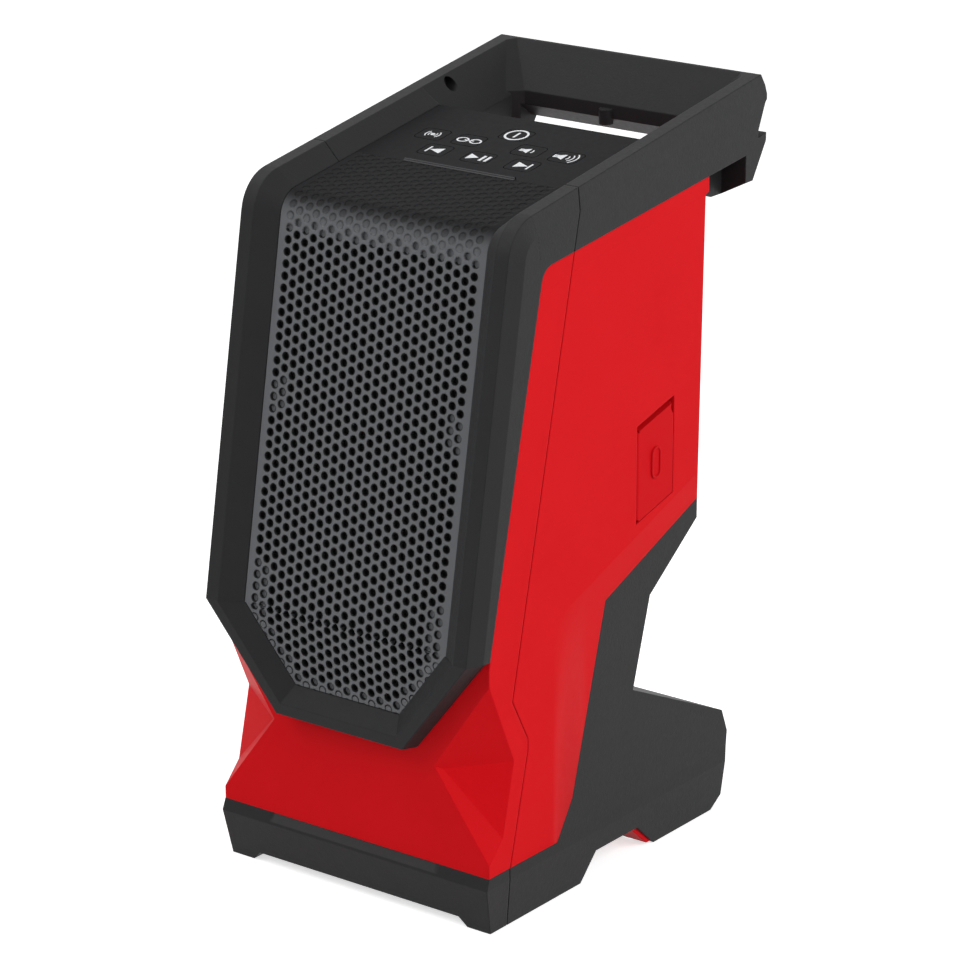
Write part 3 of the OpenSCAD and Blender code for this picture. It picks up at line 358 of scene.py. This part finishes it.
inner = [
    plain("inner_plastic", (0.03, 0.03, 0.032), 0.5, 0.6 * mm, 0.02 * mm),
    plain("cloth", (0.008, 0.008, 0.008), 0.9, 0.4 * mm, 0.1 * mm),
    plain("paper", (0.05, 0.05, 0.052), 0.8, 0.5 * mm, 0.05 * mm),
    plain("black_rubber", (0.012, 0.012, 0.013), 0.6, 0.8 * mm, 0.03 * mm),
    plain("spider_cloth", (0.55, 0.36, 0.10), 0.85, 0.4 * mm, 0.1 * mm),
    plain("copper", (0.60, 0.28, 0.12), 0.35, 0.3 * mm, 0.03 * mm, Metallic=1.0),
    plain("ferrite", (0.07, 0.07, 0.072), 0.7, 0.6 * mm, 0.05 * mm),
    plain("zinc_steel", (0.55, 0.56, 0.57), 0.35, 0.4 * mm, 0.01 * mm, Metallic=1.0),
    plain("board_green", (0.012, 0.10, 0.037), 0.4, 1 * mm, 0.01 * mm),
    plain("contact_brass", (0.60, 0.40, 0.12), 0.3, 0.4 * mm, 0.01 * mm, Metallic=1.0),
]
by_slot = {finish.material.name: finish for finish in inner}
for entry in frame["record"]["subparts"]:
    if entry["material_slot"] in by_slot:
        dress(by_slot[entry["material_slot"]], entry["node"])

# %% [markdown]
# ## Printed signs
# Each key carries a white print: media signs that every player has. They could be a texture, but a mesh stays
# crisp from near by. A sign is laid out flat in millimetres from a few operator shapes, thickened to a film
# of ink and set on its key, and it moves with the key.

# %% Shapes of the signs
ink = Finish("white_ink", (0.82, 0.84, 0.86), 0.55)
ink.feed("Roughness", 0.5 + 0.1 * ink.noise(1 * mm))
circle = 2 * math.pi
quarter = math.pi / 2


def moved(verts, x, y, sx=1.0, sy=1.0, spin=0.0):
    place = Matrix.Translation((x, y, 0)) @ Matrix.Rotation(spin, 4, "Z") @ Matrix.Diagonal((sx, sy, 1, 1))
    for v in verts:
        v.co = place @ v.co


def bar(bm, x, y, w, h):
    made = bmesh.ops.create_grid(bm, x_segments=1, y_segments=1, size=0.5)
    moved(made["verts"], x, y, w, h)


def wedge(bm, x, y, w, h, spin=0.0):
    """Triangle that points along +X before it is turned."""
    made = bmesh.ops.create_circle(bm, cap_ends=True, segments=3, radius=1)
    lowest = min(v.co.y for v in made["verts"])
    for v in made["verts"]:
        v.co = Vector((v.co.y - lowest, v.co.x, 0))
    size = max(v.co.x for v in made["verts"])
    half = max(abs(v.co.y) for v in made["verts"])
    moved(made["verts"], x, y, w / size, h / (2 * half), spin)


def arc(bm, x, y, r, w, start, angle, stretch=1.0):
    """Stroke of a given width round a centre."""
    ends = [bm.verts.new((r + side * w / 2, 0, 0)) for side in (-1, 1)]
    edge = bm.edges.new(ends)
    bmesh.ops.rotate(bm, verts=ends, cent=(0, 0, 0), matrix=Matrix.Rotation(start, 3, "Z"))
    full = abs(angle - circle) < 1e-6
    steps = max(6, int(24 * angle / math.pi))
    old = set(bm.verts) - set(ends)
    bmesh.ops.spin(
        bm, geom=ends + [edge], cent=(0, 0, 0), axis=(0, 0, 1), angle=angle, steps=steps, use_merge=full
    )
    moved([v for v in bm.verts if v not in old], x, y, stretch, 1)


# %% [markdown]
# ## The signs themselves
# Each sign is a short list of bars, wedges and arcs. Triangles and bars share their height and strokes, so
# that the row of keys reads as one set.

# %% Signs of the keys
wedge_w, wedge_h = 4.6, 4.0
stop_w, stop_h = 0.65, 4.2
stop_x, wedge_x = 2.7, 2.5


def sign_power(bm):
    stroke = 0.75
    arc(bm, 0, 0, 3.75, stroke, 0, circle)
    bar(bm, 0, 0, stroke, 3.9)


def sign_play(bm):
    wedge(bm, -4.0, 0, 4.0, wedge_h)
    for x in (1.5, 3.5):
        bar(bm, x, 0, 1.0, wedge_h)


def sign_back(bm):
    bar(bm, -stop_x, 0, stop_w, stop_h)
    wedge(bm, wedge_x, 0, wedge_w, wedge_h, math.pi)


def sign_next(bm):
    wedge(bm, -wedge_x, 0, wedge_w, wedge_h)
    bar(bm, stop_x, 0, stop_w, stop_h)


def sign_link(bm):
    stroke = 0.5
    for side in (-1, 1):
        arc(bm, side * 2.5, 0, 1.5, stroke, 0, circle, 1.3)
    bar(bm, 0, 0, 3.6, stroke)


def sign_pair(bm):
    stroke = 0.42
    arc(bm, 0, 0, 0.4, 0.8, 0, circle)
    for side in (0, math.pi):
        for r in (1.5, 2.6):
            arc(bm, 0, 0, r, stroke, side - quarter / 2, quarter)


def speaker_sign(bm, x, waves, size):
    stroke = 0.45
    bar(bm, x - 2.5 * size, 0, 1.2 * size, 1.5 * size)
    wedge(bm, x + 0.1, 0, 3.1 * size, 3.2 * size, math.pi)
    for i in range(waves):
        arc(bm, x + 0.2, 0, (1.3 + 1.2 * i) * size, stroke, -quarter / 2, quarter)


def sign_quieter(bm):
    speaker_sign(bm, 0, 1, 1.1)


def sign_louder(bm):
    speaker_sign(bm, -0.9, 3, 1.25)


# %% Print the signs on their keys
near_row, middle_row, far_row = (panel_y / mm + d for d in (10.9, 21.6, 31.1))
step_x, inner_x, outer_x = 17, 11.7, 26.2
spots = {
    "key_power": (0, far_row, sign_power),
    "key_play": (0, near_row, sign_play),
    "key_back": (-step_x, near_row, sign_back),
    "key_next": (step_x, near_row, sign_next),
    "key_pair": (-outer_x, middle_row, sign_pair),
    "key_link": (-inner_x, middle_row, sign_link),
    "key_quieter": (inner_x, middle_row, sign_quieter),
    "key_louder": (outer_x, middle_row, sign_louder),
}
film = 0.06
for key, (x, y, draw) in spots.items():
    bm = bmesh.new()
    draw(bm)
    bmesh.ops.remove_doubles(bm, verts=bm.verts, dist=0.001)
    bmesh.ops.recalc_face_normals(bm, faces=bm.faces)
    for face in bm.faces:
        if face.normal.z < 0:
            face.normal_flip()
    ring = bmesh.ops.extrude_face_region(bm, geom=bm.faces[:])
    raised = [v for v in ring["geom"] if isinstance(v, bmesh.types.BMVert)]
    bmesh.ops.translate(bm, verts=raised, vec=(0, 0, film))
    bmesh.ops.recalc_face_normals(bm, faces=bm.faces)
    place = deck @ Matrix.Translation(Vector((x, y, -lip_d / mm - film / 3)) * mm) @ Matrix.Scale(mm, 4)
    bmesh.ops.transform(bm, matrix=place, verts=bm.verts)
    mesh = bpy.data.meshes.new(key.replace("key", "sign"))
    bm.to_mesh(mesh)
    bm.free()
    mesh.materials.append(ink.material)
    sign = bpy.data.objects.new(mesh.name, mesh)
    bpy.context.scene.collection.objects.link(sign)
    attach(sign, key + "_body")
print("signs", len(spots))

# %% [markdown]
# ## Floor and world
# A pale floor runs out of the picture and the world behind it is white. Both are white only to rays that show
# them, straight or in a gloss, because a backdrop that also lit the object would wash its colours out.


# %% Floor
def seen_white(start):
    """1 where a ray shows the background, straight or in a gloss or glass, and 0 where it only lights."""
    kinds = ("Camera", "Glossy", "Transmission")
    rays = [start.made("ShaderNodeLightPath", out=f"Is {kind} Ray") for kind in kinds]
    return rays[0].at_least(rays[1]).at_least(rays[2])


floor_glow = 0.65
floor_reach = 12
floor_drop = 0.2 * mm
floor_finish = Finish(
    "floor_pale", (0.9, 0.9, 0.9), 0.9, Emission_Strength=floor_glow, Specular_IOR_Level=0.1
)
floor_finish.feed("Emission Color", seen_white(floor_finish.start).mix((0, 0, 0, 1), (1, 1, 1, 1)))
floor_mesh = bpy.data.meshes.new("floor")
bm = bmesh.new()
bmesh.ops.create_grid(bm, x_segments=1, y_segments=1, size=floor_reach)
bm.to_mesh(floor_mesh)
bm.free()
floor_mesh.materials.append(floor_finish.material)
floor = bpy.data.objects.new("floor", floor_mesh)
floor.location.z = -floor_drop
bpy.context.scene.collection.objects.link(floor)
floor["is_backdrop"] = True
print("floor", 2 * floor_reach, "m wide")

# %% World
world = bpy.data.worlds.new("studio")
bpy.context.scene.world = world
world.use_nodes = True
fill = 0.25
backdrop = world.node_tree.nodes["Background"]
backdrop.inputs["Color"].default_value = (1, 1, 1, 1)
strength = fill + (1 - fill) * seen_white(Wire(world.node_tree))
world.node_tree.links.new(strength.socket, backdrop.inputs["Strength"])
print("world lights at", fill)

# %% [markdown]
# ## Lamps
# Soft lamps light the front from the left, the side from the right and the top a little, so colours come out
# about as written. A fourth lamp stands behind on the right and draws the bevels of the frame.


# %% Lamps
def softbox(name, place, target, size, watts):
    light = bpy.data.lights.new(name, "AREA")
    light.shape = "RECTANGLE"
    light.size, light.size_y = size
    light.energy = watts
    lamp = bpy.data.objects.new(name, light)
    lamp.location = place
    lamp.rotation_mode = "QUATERNION"
    lamp.rotation_quaternion = (Vector(target) - Vector(place)).to_track_quat("-Z", "Y")
    bpy.context.scene.collection.objects.link(lamp)
    print("lamp", name, watts, "W")


middle = (0, 0, 0.12)
softbox("front_left", (-0.35, -0.75, 0.8), middle, (0.6, 0.6), 3.6)
softbox("right", (1.5, -0.2, 1.1), middle, (1.0, 1.2), 16)
softbox("top", (-0.75, -0.1, 1.45), middle, (0.8, 0.8), 5.5)
softbox("rim", (1.5, 1.5, 0.5), middle, (0.9, 0.9), 9)

# %% [markdown]
# ## Camera
# The camera stands where the photographer's stood. Its place and its focal length, in pixels of the image,
# were worked out from the object's straight edges, so it needs no tracking target and no shift.

# %% Camera
azimuth, elevation = math.radians(37.09), math.radians(18.51)
eye = Vector((712.9, -943.25, 514.4)) * mm
focal_px, image_w = 3876, 970
sensor_w = 36
back = Vector(
    (math.sin(azimuth) * math.cos(elevation), -math.cos(azimuth) * math.cos(elevation), math.sin(elevation))
)
lens = bpy.data.cameras.new("camera")
lens.sensor_fit = "HORIZONTAL"
lens.sensor_width = sensor_w
lens.lens = focal_px / image_w * sensor_w
lens.clip_start, lens.clip_end = 0.05, 60
camera = bpy.data.objects.new("camera", lens)
camera.location = eye
camera.rotation_mode = "QUATERNION"
camera.rotation_quaternion = (-back).to_track_quat("-Z", "Y")
bpy.context.scene.collection.objects.link(camera)
bpy.context.scene.camera = camera
bpy.context.scene.view_settings.view_transform = "Standard"
print("focal length", round(lens.lens, 1), "mm")

# %% Sizes of the CAD model and of the finished scene
visual_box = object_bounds()
{"cad": [list(v) for v in cad_box], "visual": [list(v) for v in visual_box]}
print("box grows by", [round(b - a, 5) for a, b in zip(cad_box[1], visual_box[1])])
